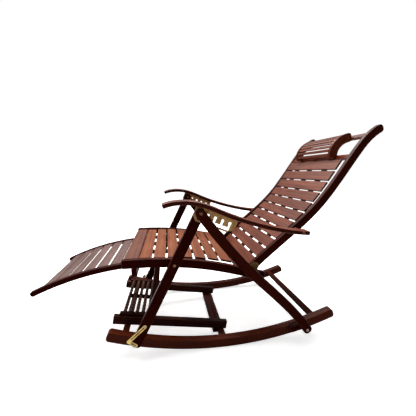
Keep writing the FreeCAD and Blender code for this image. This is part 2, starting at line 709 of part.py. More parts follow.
def make_back():
    points = back_rail_points()
    curve = curve_through(points)
    end_round = BACK_RAIL_DEPTH * END_ROUND_SHARE
    rail = curved_board(points, BACK_RAIL_DEPTH, BACK_RAIL_INNER, BOARD_THICK, end_round)
    hole = pin(back_pivot, BOLT_RADIUS + PIN_CLEARANCE, BACK_RAIL_INNER, BACK_RAIL_OUTER)
    arm_bolt = make_arm_bolt()
    arm_hole = pin(arm_pivot, BOLT_RADIUS + PIN_CLEARANCE, BACK_RAIL_INNER, BACK_RAIL_OUTER)
    save_pair("back_rail", rail.cut(Part.makeCompound([hole, arm_hole])))
    save_both("arm_pivot_bolts", [arm_bolt])
    row = {
        "first": BACK_SLAT_START, "pitch": BACK_SLAT_PITCH, "count": BACK_SLAT_COUNT,
        "width": BACK_SLAT_WIDTH, "half": BACK_SLAT_HALF,
        "low": BACK_PROUD_LOW, "high": BACK_PROUD_HIGH,
    }
    slats = make_slats(curve, row)
    bar_rise = panel_height(row, BACK_BAR_DISTANCE) - SLAT_THICK
    low_bar = cross_bar(curve, BACK_BAR_DISTANCE, bar_rise, CROSS_BAR_WIDTH, CROSS_BAR_THICK,
                        BACK_RAIL_INNER)
    lower_bar = head_bar(curve, LOWER_HEAD_BAR)
    upper_bar = head_bar(curve, UPPER_HEAD_BAR)
    batten_end = LOWER_HEAD_BAR - HEAD_BAR_WIDTH / 2
    battens = make_battens(curve, row, BACK_BAR_DISTANCE, batten_end, slats + [low_bar, lower_bar])
    save("back_slats", slats)
    save("low_back_bar", [low_bar])
    save("lower_head_bar", [lower_bar])
    save("upper_head_bar", [upper_bar])
    save("back_battens", battens)
    make_pillow(curve, [lower_bar, upper_bar])


def head_bar(curve, distance):
    return cross_bar(curve, distance, HEAD_BAR_RISE, HEAD_BAR_WIDTH, HEAD_BAR_THICK, BACK_RAIL_INNER)


def make_pillow(curve, bars):
    """Arched side plates and thin slats between the two head bars."""
    low = station(curve, LOWER_HEAD_BAR, HEAD_BAR_RISE)[0]
    high = station(curve, UPPER_HEAD_BAR, HEAD_BAR_RISE)[0]
    line = (high - low).normalize()
    span = low.distanceToPoint(high)
    stations = [(-span * 0.08, PILLOW_RISE * 0.25), (span * 0.17, PILLOW_RISE * 0.9),
                (span * 0.5, PILLOW_RISE), (span * 0.76, PILLOW_RISE * 0.68), (span, 0)]
    arch = bowed(low, line, stations)
    plate_inner = PILLOW_HALF_WIDTH - PILLOW_PLATE_THICK
    plate = curved_board(arch, PILLOW_PLATE_DEPTH, plate_inner, PILLOW_PLATE_THICK, PILLOW_END_ROUND)
    save_pair("pillow_plate", largest(plate.cut(Part.makeCompound(bars))))
    arch_curve = curve_through(arch)
    length = arch_curve.length()
    slats = []
    for index in range(PILLOW_SLAT_COUNT):
        distance = length * (index + 0.9) / (PILLOW_SLAT_COUNT + 0.8)
        middle, direction = station(arch_curve, distance, PILLOW_PLATE_DEPTH / 2 - PILLOW_SLAT_DROP)
        slats.append(plank(middle, direction, PILLOW_SLAT_WIDTH, PILLOW_SLAT_THICK,
                           -plate_inner, plate_inner, SLAT_ROUND))
    save("pillow_slats", slats)


def make_hinge_plates():
    """Brass plate on each back rail's lower end, in the gap beside the seat rail."""
    thick = LAYER_GAP - 2 * SEATED_GAP
    inner = BACK_RAIL_OUTER + SEATED_GAP
    end = back_pivot + back_line * HINGE_PLATE_LENGTH
    plate = rounded_strip(back_pivot, end, BACK_RAIL_DEPTH / 2, inner, thick)
    hole = pin(back_pivot, BOLT_RADIUS + PIN_CLEARANCE, inner, inner + thick)
    save_both("back_hinge_plates", [plate.cut(hole)])


def make_arm_bolt():
    """Bolt from the back rail through its sleeve to the armrest's outer side."""
    nut_face = BACK_RAIL_INNER - SEATED_GAP
    head_face = ARM_OUTER + SEATED_GAP
    shank = pin(arm_pivot, BOLT_RADIUS, nut_face, head_face)
    nut = pin(arm_pivot, BOLT_HEAD_RADIUS, nut_face - BOLT_HEAD_THICK, nut_face)
    sleeve = pin(arm_pivot, SLEEVE_RADIUS, BACK_RAIL_OUTER + SEATED_GAP, ARM_INNER - SEATED_GAP)
    head = pin(arm_pivot, BOLT_HEAD_RADIUS, head_face, head_face + BOLT_HEAD_THICK)
    return shank.fuse([nut, sleeve, head]).removeSplitter()


def arm_points():
    stations = [(-ARM_REAR_REACH, -ARM_BOW * 0.12), (0, 0), (ARM_LENGTH * 0.2, ARM_BOW * 0.15),
                (ARM_LENGTH * 0.4, -ARM_BOW * 0.03), (ARM_LENGTH * 0.6, -ARM_BOW * 0.53),
                (ARM_LENGTH * 0.76, -ARM_BOW), (ARM_LENGTH * 0.88, -ARM_BOW * 0.85), (ARM_LENGTH, 0)]
    return bowed(arm_pivot, arm_line, stations)


def make_armrests():
    arm = curved_board(arm_points(), ARM_THICK, ARM_INNER, ARM_WIDTH, ARM_END_ROUND)
    plate = make_notch_plate().cut(arm)
    save_pair("notch_plate", largest(plate))
    hole = pin(arm_pivot, BOLT_RADIUS + PIN_CLEARANCE, ARM_INNER, ARM_OUTER)
    save_pair("armrest", arm.cut(hole))


def make_notch_plate():
    """Brass plate whose row of notches hangs on the top pivot's pin."""
    line = heading(NOTCH_LINE_ANGLE)
    up = upward(line)
    low = -NOTCH_DEPTH - WINDOW_HEIGHT - PLATE_BAR
    last = (NOTCH_COUNT - 1) * NOTCH_PITCH
    corners = [
        top_pivot - line * PLATE_FRONT_REACH + up * PLATE_TOP_REACH,
        top_pivot - line * PLATE_FRONT_REACH + up * (low + PLATE_CORNER),
        top_pivot - line * (PLATE_FRONT_REACH - PLATE_CORNER) + up * low,
        top_pivot + line * (last + PLATE_REAR_REACH - PLATE_CORNER * 1.7) + up * low,
        top_pivot + line * (last + PLATE_REAR_REACH) + up * (low + PLATE_CORNER),
        top_pivot + line * (last + PLATE_REAR_REACH) + up * PLATE_TOP_REACH,
    ]
    edges = [Part.makeLine(corners[index - 1], corner) for index, corner in enumerate(corners)]
    plate = extruded(edges, NOTCH_PLATE_INNER, NOTCH_PLATE_THICK)
    cuts = []
    middle_height = -NOTCH_DEPTH - WINDOW_HEIGHT / 2
    window_start = top_pivot + up * middle_height
    window_end = top_pivot + line * last + up * middle_height
    cuts.append(rounded_strip(window_start, window_end, WINDOW_HEIGHT / 2,
                              NOTCH_PLATE_INNER, NOTCH_PLATE_THICK))
    for index in range(NOTCH_COUNT):
        head = top_pivot + line * (index * NOTCH_PITCH)
        cuts.append(pin(head, NOTCH_RADIUS, NOTCH_PLATE_INNER, NOTCH_PLATE_OUTER))
        cuts.append(rounded_strip(head, head + up * middle_height, NOTCH_NECK / 2,
                                  NOTCH_PLATE_INNER, NOTCH_PLATE_THICK))
    return plate.cut(Part.makeCompound(cuts))


def footrest_centre():
    return flat(FOOTREST_ARC_TOP) - Vector(0, 0, FOOTREST_RADIUS)


def footrest_point(distance, offset=0.0):
    """Point a distance from the footrest's tip along its arc."""
    tip = math.asin((FOOTREST_TIP_X - FOOTREST_ARC_TOP[0]) / FOOTREST_RADIUS)
    turn = tip + distance / FOOTREST_RADIUS
    out = Vector(math.sin(turn), 0, math.cos(turn))
    return footrest_centre() + out * (FOOTREST_RADIUS + offset), Vector(out.z, 0, -out.x)


def make_footrest():
    half = FOOTREST_RAIL_DEPTH / 2
    low = [footrest_point(distance, -half)[0] for distance in (0, FOOTREST_LENGTH / 2, FOOTREST_LENGTH)]
    high = [footrest_point(distance, half)[0] for distance in (0, FOOTREST_LENGTH / 2, FOOTREST_LENGTH)]
    inner = FOOTREST_HALF_WIDTH - BOARD_THICK
    save_pair("footrest_rail", arc_board(low, high, inner, BOARD_THICK, half * 0.85))
    slats = []
    for index in range(FOOTREST_SLAT_COUNT):
        distance = FOOTREST_SLAT_START + index * FOOTREST_SLAT_PITCH
        middle, direction = footrest_point(distance, half - FOOTREST_SLAT_DROP)
        slat = plank(middle, direction, FOOTREST_SLAT_WIDTH, FOOTREST_SLAT_THICK, -inner, inner, 0)
        slats.append(round_long_edges(slat, SLAT_ROUND))
    save("footrest_slats", slats)
    bar_middle, bar_direction = footrest_point(HANGER_REACH, -half - SEATED_GAP)
    bar = plank(bar_middle, bar_direction, HANGER_WIDTH, FOOTREST_BAR_THICK,
                -SEAT_RAIL_OUTER, SEAT_RAIL_OUTER, 0)
    bar = round_long_edges(bar, SLAT_ROUND)
    save("footrest_bar", [bar])
    stop_distance = HANGER_REACH + (HANGER_WIDTH + FOOTREST_STOP_WIDTH) / 2 + 2 * SEATED_GAP
    stop_middle, stop_direction = footrest_point(stop_distance, FOOTREST_STOP_DEPTH / 2 - half)
    stop = plank(stop_middle, stop_direction, FOOTREST_STOP_WIDTH, FOOTREST_STOP_DEPTH, -inner, inner, 0)
    save("footrest_stop_bar", [stop.cut(Part.makeCompound(slats))])
    make_hangers(bar_middle, bar)


def make_hangers(bar_middle, bar):
    """Blocks under the seat rails that hold the bar the footrest slides on."""
    rail = board_blank(seat_rail_points(), SEAT_RAIL_DEPTH + 2 * HANGER_GAP, SEAT_RAIL_INNER, BOARD_THICK)
    top = Vector(bar_middle.x, 0, bar_middle.z + HANGER_RISE)
    block = plank(top, Vector(1, 0, 0), HANGER_WIDTH, HANGER_RISE + FOOTREST_BAR_THICK, SEAT_RAIL_INNER,
                  SEAT_RAIL_OUTER, 0)
    pieces = block.cut(Part.makeCompound([rail, bar])).Solids
    below = [piece for piece in pieces if piece.BoundBox.ZMin < bar_middle.z + HANGER_RISE / 2]
    save_both("footrest_hangers", [max(below, key=lambda piece: piece.Volume)])


os.makedirs("parts", exist_ok=True)
board_rise = make_base()
make_massager(board_rise)
make_rear_legs()
make_front_legs()
save_pair("foot_latch", make_latch())
make_seat()
make_footrest()
make_hinge_plates()
make_back()
make_armrests()
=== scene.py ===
import math

import bmesh
import bpy
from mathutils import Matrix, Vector
from mathutils.bvhtree import BVHTree


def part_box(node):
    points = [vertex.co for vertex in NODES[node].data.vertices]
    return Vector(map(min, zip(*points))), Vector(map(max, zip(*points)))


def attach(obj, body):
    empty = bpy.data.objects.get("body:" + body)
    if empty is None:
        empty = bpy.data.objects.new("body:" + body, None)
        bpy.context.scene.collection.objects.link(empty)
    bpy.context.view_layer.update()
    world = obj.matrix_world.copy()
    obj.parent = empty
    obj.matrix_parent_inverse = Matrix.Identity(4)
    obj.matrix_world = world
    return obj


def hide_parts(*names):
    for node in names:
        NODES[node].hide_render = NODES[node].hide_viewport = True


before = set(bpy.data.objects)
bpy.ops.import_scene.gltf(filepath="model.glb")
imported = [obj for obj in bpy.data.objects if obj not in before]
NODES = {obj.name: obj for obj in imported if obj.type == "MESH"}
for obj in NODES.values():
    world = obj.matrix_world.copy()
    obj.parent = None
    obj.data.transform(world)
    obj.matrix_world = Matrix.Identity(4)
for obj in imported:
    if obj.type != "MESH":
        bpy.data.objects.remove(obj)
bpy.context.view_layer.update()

# Looks of the folding rocking recliner. Sizes are in metres, except where a comment
# says millimetres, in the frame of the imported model: +X towards the head, +Z up,
# the same on both sides of Y = 0.

SIDES = ("_right", "_left")


# Camera

camera_data = bpy.data.cameras.new("camera")
camera_data.sensor_width = 36.0
camera_data.lens = 20.04
camera_data.shift_x = 0.0031
camera_data.shift_y = 0.0005
camera_data.clip_start = 0.05
camera_data.clip_end = 60.0
camera = bpy.data.objects.new("camera", camera_data)
camera.location = (-0.1972, -1.195, 0.7845)
camera.rotation_euler = (math.radians(81.135), 0.0, math.radians(-9.443))
bpy.context.scene.collection.objects.link(camera)
bpy.context.scene.camera = camera


# Floor and light

FLOOR_HALF = 14.0
FLOOR_DROP = 0.0004
FLOOR_GREY = (0.86, 0.86, 0.86, 1)
# The floor's glow to the camera near its middle, and the distances from there
# between which it rises to white.
FLOOR_LIFT = 0.7
LIFT_START = 0.9
LIFT_END = 3.2
ROOM_LIGHT = 0.15
ROOM_COLOUR = (0.96, 0.98, 1.0, 1)
WHITE = (1, 1, 1, 1)


def add_floor():
    """Pale floor. It looks a little lighter to the camera than the light that it throws back,
    and turns white further out."""
    mesh = bpy.data.meshes.new("floor")
    corners = [(-FLOOR_HALF, -FLOOR_HALF, 0), (FLOOR_HALF, -FLOOR_HALF, 0),
               (FLOOR_HALF, FLOOR_HALF, 0), (-FLOOR_HALF, FLOOR_HALF, 0)]
    mesh.from_pydata(corners, [], [(0, 1, 2, 3)])
    floor = bpy.data.objects.new("floor", mesh)
    bpy.context.scene.collection.objects.link(floor)
    floor.location = (0, 0, -FLOOR_DROP)
    material = bpy.data.materials.new("floor")
    material.use_nodes = True
    tree = material.node_tree
    shader = tree.nodes["Principled BSDF"]
    shader.inputs["Base Color"].default_value = FLOOR_GREY
    shader.inputs["Roughness"].default_value = 0.9
    shader.inputs["Specular IOR Level"].default_value = 0.1
    shader.inputs["Emission Color"].default_value = WHITE
    path = tree.nodes.new("ShaderNodeLightPath")
    place = tree.nodes.new("ShaderNodeTexCoord")
    reach = tree.nodes.new("ShaderNodeVectorMath")
    reach.operation = "LENGTH"
    lift = tree.nodes.new("ShaderNodeMapRange")
    lift.interpolation_type = "SMOOTHSTEP"
    spans = (("From Min", LIFT_START), ("From Max", LIFT_END), ("To Min", FLOOR_LIFT), ("To Max", 1.0))
    for name, value in spans:
        lift.inputs[name].default_value = value
    shown = tree.nodes.new("ShaderNodeMath")
    shown.operation = "MULTIPLY"
    tree.links.new(place.outputs["Object"], reach.inputs[0])
    tree.links.new(reach.outputs["Value"], lift.inputs["Value"])
    tree.links.new(path.outputs["Is Camera Ray"], shown.inputs[0])
    tree.links.new(lift.outputs["Result"], shown.inputs[1])
    tree.links.new(shown.outputs[0], shader.inputs["Emission Strength"])
    mesh.materials.append(material)


def add_area(name, place, target, size, power, colour):
    light = bpy.data.lights.new(name, "AREA")
    light.shape = "RECTANGLE"
    light.size, light.size_y = size
    light.energy = power
    light.color = colour
    lamp = bpy.data.objects.new(name, light)
    lamp.location = place
    aim = Vector(target) - Vector(place)
    lamp.rotation_euler = aim.to_track_quat("-Z", "Y").to_euler()
    bpy.context.scene.collection.objects.link(lamp)


def add_world():
    """White surroundings to look at, and a dimmer room that lights the chair."""
    world = bpy.data.worlds.new("studio")
    world.use_nodes = True
    tree = world.node_tree
    room = tree.nodes["Background"]
    room.inputs["Color"].default_value = ROOM_COLOUR
    room.inputs["Strength"].default_value = ROOM_LIGHT
    wall = tree.nodes.new("ShaderNodeBackground")
    wall.inputs["Color"].default_value = WHITE
    wall.inputs["Strength"].default_value = 1.0
    path = tree.nodes.new("ShaderNodeLightPath")
    share = tree.nodes.new("ShaderNodeMixShader")
    tree.links.new(path.outputs["Is Camera Ray"], share.inputs[0])
    tree.links.new(room.outputs[0], share.inputs[1])
    tree.links.new(wall.outputs[0], share.inputs[2])
    tree.links.new(share.outputs[0], tree.nodes["World Output"].inputs["Surface"])
    bpy.context.scene.world = world


bpy.context.scene.view_settings.view_transform = "Standard"
add_floor()
add_world()
add_area("overhead", (-0.4, 0.9, 3.2), (-0.1, 0.1, 0.3), (4.2, 3.0), 250, (1.0, 0.99, 0.97))
add_area("left", (-3.2, 0.6, 1.9), (0, 0, 0.4), (1.6, 1.2), 30, (1.0, 0.98, 0.95))
add_area("front", (1.4, -3.4, 1.6), (0.1, 0, 0.4), (1.6, 1.2), 8, (1.0, 0.97, 0.95))


# Materials

class Net:
    """Builds the node network of one material."""

    def __init__(self, name):
        self.material = bpy.data.materials.new(name)
        self.material.use_nodes = True
        self.tree = self.material.node_tree
        self.shader = self.tree.nodes["Principled BSDF"]

    def node(self, kind, values=(), **settings):
        made = self.tree.nodes.new(kind)
        for key, value in settings.items():
            setattr(made, key, value)
        for key, value in values:
            self.put(made.inputs[key], value)
        return made

    def put(self, socket, value):
        if isinstance(value, bpy.types.NodeSocket):
            self.tree.links.new(value, socket)
        else:
            socket.default_value = value

    def math(self, operation, first, second=0.0):
        return self.node("ShaderNodeMath", [(0, first), (1, second)], operation=operation).outputs[0]

    def times(self, first, second):
        return self.math("MULTIPLY", first, second)

    def plus(self, first, second):
        return self.math("ADD", first, second)

    def minus(self, first, second):
        return self.math("SUBTRACT", first, second)

    def over(self, first, second):
        return self.math("DIVIDE", first, second)

    def off_middle(self, value):
        """Distance from the middle of each whole step, 0 to 0.5."""
        return self.math("ABSOLUTE", self.minus(self.math("FRACT", value), 0.5))

    def ramp(self, value, low, high):
        """0 below low, 1 above high, straight between."""
        made = self.node("ShaderNodeMapRange", [("Value", value), ("From Min", low), ("From Max", high)])
        return made.outputs["Result"]

    def mix(self, share, first, second):
        """Colour mix. Its two colours are the node's sockets 6 and 7."""
        made = self.node("ShaderNodeMix", data_type="RGBA")
        self.put(made.inputs["Factor"], share)
        self.put(made.inputs[6], first)
        self.put(made.inputs[7], second)
        return made.outputs[2]

    def noise(self, vector, scale, detail, roughness):
        values = [("Vector", vector), ("Scale", scale), ("Detail", detail), ("Roughness", roughness)]
        return self.node("ShaderNodeTexNoise", values).outputs["Fac"]

    def bump(self, height, strength, distance, normal=None):
        values = [("Height", height), ("Strength", strength), ("Distance", distance)]
        if normal is not None:
            values.append(("Normal", normal))
        return self.node("ShaderNodeBump", values).outputs["Normal"]

    def place(self, kind="Object"):
        return self.node("ShaderNodeTexCoord").outputs[kind]


# Turns the angle round a curved board's centre into a length along it.
ARC_RADIUS = 1.3


def grain_space(net, direction):
    """Coordinates along the grain, across it, and through the board. The direction is "cross"
    for a board across the chair, the centre of a board's arc in X and Z, or its slope in degrees."""
    x, y, z = net.node("ShaderNodeSeparateXYZ", [(0, net.place())]).outputs
    if direction == "cross":
        return y, x, z
    if isinstance(direction, tuple):
        centre_x, centre_z = direction
        dx = net.minus(x, centre_x)
        dz = net.minus(z, centre_z)
        radius = net.math("SQRT", net.plus(net.times(dx, dx), net.times(dz, dz)))
        turn = net.math("ARCTAN2", dx, net.math("ABSOLUTE", dz))
        return net.times(turn, ARC_RADIUS), radius, y
    cosine, sine = math.cos(math.radians(direction)), math.sin(math.radians(direction))
    along = net.plus(net.times(x, cosine), net.times(z, sine))
    across = net.minus(net.times(z, cosine), net.times(x, sine))
    return along, across, y


def stretched(net, grain, along_scale, cross_scale):
    """Grain coordinates drawn out along the board, for a noise."""
    along, across, depth = grain
    values = [(0, net.times(along, along_scale)), (1, net.times(across, cross_scale)),
              (2, net.times(depth, cross_scale))]
    return net.node("ShaderNodeCombineXYZ", values).outputs[0]


# Noises of the grain: scales along and across a board, per metre, and the range
# of the noise over which its mark grows from nothing to full.
FIBRE_SCALES = (9.0, 420.0)
FIBRE_RANGE = (0.52, 0.8)
STREAK_SCALES = (2.2, 70.0)
STREAK_RANGE = (0.3, 0.72)
# The worn edges are lighter partly from wear and partly as a painted highlight.
WORN_HIGHLIGHT_RANGE = (0.35, 0.65)
# Lighter patches of painted sheen, placed at random.
SHEEN_PATCH_SCALE = 7.0
SHEEN_PATCH_RANGE = (0.42, 0.72)
# Strips glued side by side. A groove is the distance from a strip's middle at which
# it starts, as a share of the strip's width, and its shade.
STRIP_WIDTH = 0.0065
STRIP_DEPTH_SHARE = 3.2
FINE_GROOVE = (0.455, 0.35)
WIDE_STRIP = 0.011
WIDE_GROOVE = (0.34, 0.75)
GROOVE_EDGE = 0.045
KNOT_SPACING = 0.31
KNOT_SHIFT = 7.0
KNOT_LINE = (0.004, 0.011)
# Edges, painted lighter as wear and a painted highlight, or darker as painted shade, and how far a face
# has to turn to count as an edge or as a side face with painted shade.
EDGE_RADIUS = 0.0022
EDGE_TURN = (0.86, 0.985)
FLANK_SHADE_TURN = (0.6, 0.95)
# How far each mark pulls the colour to the dark or the light tone.
STRIP_SHADE = 0.42
SHEEN_PATCH_SHARE = 0.35
KNOT_SHADE = 0.5
BOARD_SHADE = 0.3
WORN_HIGHLIGHT_SHARE = 0.7
# Roughness that the fibres add, and the surface's relief.
FIBRE_ROUGHNESS = 0.22
SEAM_DEPTH = 0.8
KNOT_RISE = 1.2
RELIEF_STRENGTH = 0.22
RELIEF_HEIGHT = 0.0006


def bamboo(name, direction, tones, roughness, painted_flank_shade=(None, 0.0), sheen=0.12, strip=STRIP_WIDTH,
           groove=FINE_GROOVE, rim_shade=0.0):
    """Laminated bamboo: narrow strips of differing tone, fine fibres, nodes and patches of painted sheen.
    Faces turned to the chair's sides take a darker tone of painted shade. Edges are painted lighter, as
    wear and a painted highlight, or with a rim of painted shade."""
    net = Net(name)
    grain = grain_space(net, direction)
    along, across, depth = grain
    fibres = net.noise(stretched(net, grain, *FIBRE_SCALES), scale=1.0, detail=4.0, roughness=0.65)
    streaks = net.noise(stretched(net, grain, *STREAK_SCALES), scale=1.0, detail=3.0, roughness=0.55)
    row = net.math("FLOOR", net.over(across, strip))
    layer = net.math("FLOOR", net.over(depth, strip * STRIP_DEPTH_SHARE))
    cell = net.node("ShaderNodeCombineXYZ", [(0, row), (1, layer)]).outputs[0]
    chance = net.node("ShaderNodeTexWhiteNoise", [("Vector", cell)], noise_dimensions="3D").outputs["Value"]
    groove_start, groove_shade = groove
    seam = net.ramp(net.off_middle(net.over(across, strip)), groove_start, groove_start + GROOVE_EDGE)
    knot_steps = net.plus(net.over(along, KNOT_SPACING), net.times(chance, KNOT_SHIFT))
    knot = net.minus(1.0, net.ramp(net.off_middle(knot_steps), *KNOT_LINE))
    # Lighter patches of painted sheen.
    sheen_patch = net.noise(net.place(), scale=SHEEN_PATCH_SCALE, detail=2.0, roughness=0.5)

    light, middle, dark = tones
    colour = net.mix(net.ramp(streaks, *STREAK_RANGE), middle, light)
    colour = net.mix(net.times(chance, STRIP_SHADE), colour, dark)
    colour = net.mix(net.ramp(fibres, *FIBRE_RANGE), colour, dark)
    colour = net.mix(net.times(net.ramp(sheen_patch, *SHEEN_PATCH_RANGE), SHEEN_PATCH_SHARE), colour, light)
    colour = net.mix(net.times(seam, groove_shade), colour, dark)
    colour = net.mix(net.times(knot, KNOT_SHADE), colour, dark)
    board = net.node("ShaderNodeNewGeometry").outputs["Random Per Island"]
    colour = net.mix(net.times(board, BOARD_SHADE), colour, dark)

    shine = net.shader.inputs["Specular IOR Level"]
    shine.default_value = sheen
    # Faces turned to the chair's sides get a darker tone of painted shade, and less sheen.
    flank_shade_tone, flank_shade_share = painted_flank_shade
    if flank_shade_share > 0:
        sideways = net.node("ShaderNodeSeparateXYZ", [(0, net.place("Normal"))]).outputs[1]
        turned_out = net.ramp(net.math("ABSOLUTE", sideways), *FLANK_SHADE_TURN)
        colour = net.mix(net.times(turned_out, flank_shade_share), colour, flank_shade_tone)
        net.put(shine, net.times(net.minus(1.0, turned_out), sheen))

    bevelled = net.node("ShaderNodeBevel", [("Radius", EDGE_RADIUS)], samples=4).outputs[0]
    true_normal = net.node("ShaderNodeNewGeometry").outputs["Normal"]
    facing = net.node("ShaderNodeVectorMath", [(0, bevelled), (1, true_normal)], operation="DOT_PRODUCT")
    edge = net.minus(1.0, net.ramp(facing.outputs["Value"], *EDGE_TURN))
    # A rim of painted shade darkens the edges. Without one, they are painted lighter, partly as wear and
    # partly as a highlight.
    if rim_shade > 0:
        colour = net.mix(net.times(edge, rim_shade), colour, dark)
    else:
        worn_highlight = net.times(edge, net.ramp(streaks, *WORN_HIGHLIGHT_RANGE))
        colour = net.mix(net.times(worn_highlight, WORN_HIGHLIGHT_SHARE), colour, light)
    net.put(net.shader.inputs["Base Color"], colour)
    net.put(net.shader.inputs["Roughness"], net.plus(roughness, net.times(fibres, FIBRE_ROUGHNESS)))
    relief = net.plus(net.minus(fibres, net.times(seam, SEAM_DEPTH)), net.times(knot, KNOT_RISE))
    net.put(net.shader.inputs["Normal"], net.bump(relief, RELIEF_STRENGTH, RELIEF_HEIGHT, bevelled))
    return net.material


# Scales of the scratches along X, Y and Z, per metre, and of the patches.
SHEET_SCRATCHES = (900, 900, 60)
BOLT_SCRATCHES = (700, 700, 700)
SCRATCH_RANGE = (0.55, 0.85)
SCRATCH_SHADE = 0.35
SCRATCH_STRENGTH = 0.12
SCRATCH_HEIGHT = 0.0003
PATCH_SCALE = 55.0
PATCH_RANGE = (0.4, 0.75)
PATCH_ROUGHNESS = 0.25


def metal(name, colour, shade, roughness, scratches):
    """Sheet or plated metal with fine scratches, dull patches and darker tarnish."""
    net = Net(name)
    place = net.place()
    mapped = net.node("ShaderNodeMapping", [("Vector", place), ("Scale", scratches)]).outputs[0]
    lines = net.noise(mapped, scale=1.0, detail=5.0, roughness=0.7)
    patches = net.noise(place, scale=PATCH_SCALE, detail=3.0, roughness=0.6)
    tint = net.mix(net.ramp(patches, *PATCH_RANGE), colour, shade)
    tint = net.mix(net.times(net.ramp(lines, *SCRATCH_RANGE), SCRATCH_SHADE), tint, shade)
    net.put(net.shader.inputs["Base Color"], tint)
    net.shader.inputs["Metallic"].default_value = 0.85
    net.put(net.shader.inputs["Roughness"], net.plus(roughness, net.times(patches, PATCH_ROUGHNESS)))
    net.put(net.shader.inputs["Normal"], net.bump(lines, SCRATCH_STRENGTH, SCRATCH_HEIGHT))
    return net.material


def tone(red, green, blue):
    """Linear colour from 0 to 255 display values."""
    def channel(value):
        share = value / 255.0
        return share / 12.92 if share <= 0.04045 else ((share + 0.055) / 1.055) ** 2.4
    return (channel(red), channel(green), channel(blue), 1.0)


# Light, middle and dark tone of each kind of board.
DARK = (tone(86, 30, 16), tone(46, 10, 5), tone(18, 3, 2))
ROCKER = (tone(126, 52, 22), tone(70, 21, 8), tone(28, 8, 3))
# The armrests' lighter tones are partly painted sheen on their tops.
ARM = (tone(150, 84, 66), tone(104, 48, 34), tone(50, 18, 12))
SEAT = (tone(152, 94, 66), tone(124, 69, 46), tone(78, 39, 26))
# The nose slat's greyer tones are partly painted reflection.
NOSE = (tone(124, 78, 62), tone(98, 58, 45), tone(62, 33, 26))
BACK = (tone(124, 69, 51), tone(97, 49, 35), tone(52, 22, 15))
# The footrest slats' greyer tones are partly painted sheen.
FOOT = (tone(132, 104, 98), tone(102, 78, 73), tone(46, 27, 24))
ROLLER = (tone(140, 96, 80), tone(104, 66, 54), tone(58, 32, 26))
# Painted shade on the slats' long narrow sides.
SLAT_SIDE_SHADE = (tone(74, 32, 24), tone(46, 17, 12), tone(24, 7, 5))
GROOVED = (tone(108, 64, 52), tone(66, 34, 27), tone(22, 7, 5))
# Painted shade on the faces turned to the chair's sides: its tone, and its share.
RED_FLANK_SHADE = (tone(36, 6, 4), 0.85)
WARM_FLANK_SHADE = (tone(46, 13, 8), 0.75)
GREY_FLANK_SHADE = (tone(68, 33, 27), 0.75)
# On boards across the chair those faces are the ends: darker end grain, with painted shade.
END_GRAIN_AND_SHADE = (tone(44, 18, 13), 0.9)
GROOVED_FLANK_SHADE = (tone(38, 10, 7), 0.5)

# Centres of the footrest's and the rockers' arcs in X and Z, and slopes of the other
# boards in degrees. A bowed board has about the slope of the line between its ends.
FOOTREST_CENTRE = (-0.2975, -0.711)
ROCKER_CENTRE = (0.0565, 1.54)
REAR_LEG_SLOPE = -48.6
FRONT_LEG_SLOPE = 63.8
SEAT_SLOPE = -11.6
BATTEN_SLOPE = -8.0
BACK_SLOPE = 46.6
ARM_SLOPE = -13.0
PILLOW_SLOPE = 52.0
BASE_SLOPE = -10.0


def dress(names, material):
    for name in names:
        data = NODES[name].data
        data.materials.clear()
        data.materials.append(material)
        for polygon in data.polygons:
            polygon.material_index = 0


def pair(name):
    return [name + side for side in SIDES]


dress(["rocker_left"], bamboo("rocker_bamboo", ROCKER_CENTRE, ROCKER, 0.22, GREY_FLANK_SHADE))
# The far rocker is a darker copy of the near one: painted shade.
dress(["rocker_right"], bamboo("shaded_far_rocker_bamboo", ROCKER_CENTRE, DARK, 0.26, GREY_FLANK_SHADE))
dress(pair("footrest_rail"), bamboo("footrest_rail_bamboo", FOOTREST_CENTRE, DARK, 0.24, RED_FLANK_SHADE))
dress(pair("rear_leg"), bamboo("rear_leg_bamboo", REAR_LEG_SLOPE, DARK, 0.24, WARM_FLANK_SHADE))
dress(pair("front_leg"), bamboo("front_leg_bamboo", FRONT_LEG_SLOPE, DARK, 0.24, RED_FLANK_SHADE))
dress(pair("seat_rail"), bamboo("seat_rail_bamboo", SEAT_SLOPE, DARK, 0.24, RED_FLANK_SHADE))
dress(pair("back_rail"), bamboo("back_rail_bamboo", BACK_SLOPE, DARK, 0.24, WARM_FLANK_SHADE))
dress(pair("armrest"), bamboo("armrest_bamboo", ARM_SLOPE, ARM, 0.2, RED_FLANK_SHADE, sheen=0.4))
dress(pair("pillow_plate"), bamboo("pillow_plate_bamboo", PILLOW_SLOPE, ROCKER, 0.26))
dress(pair("massage_rail"),
      bamboo("massage_rail_bamboo", BASE_SLOPE, GROOVED, 0.3, GROOVED_FLANK_SHADE,
             strip=WIDE_STRIP, groove=WIDE_GROOVE))
dress(["cassette_bars"], bamboo("cassette_bamboo", BASE_SLOPE, DARK, 0.3, RED_FLANK_SHADE))
dress(["seat_battens"], bamboo("seat_batten_bamboo", BATTEN_SLOPE, DARK, 0.34))
dress(["back_battens"], bamboo("back_batten_bamboo", BACK_SLOPE, DARK, 0.34))
dress(["rear_foot_spacers", "footrest_hangers"], bamboo("block_bamboo", 0.0, DARK, 0.34, RED_FLANK_SHADE))
dress(["middle_base_board", "seat_rear_bar", "footrest_bar", "footrest_stop_bar", "low_back_bar"],
      bamboo("cross_bar_bamboo", "cross", DARK, 0.28, END_GRAIN_AND_SHADE))
dress(["rear_base_board", "front_leg_tie"],
      bamboo("dull_bar_bamboo", "cross", DARK, 0.45, END_GRAIN_AND_SHADE, sheen=0.03))
dress(["lower_head_bar", "upper_head_bar", "front_base_board"],
      bamboo("head_bar_bamboo", "cross", ROCKER, 0.28, END_GRAIN_AND_SHADE))
dress(["seat_slats"], bamboo("seat_slat_bamboo", "cross", SEAT, 0.34, END_GRAIN_AND_SHADE, rim_shade=0.8))
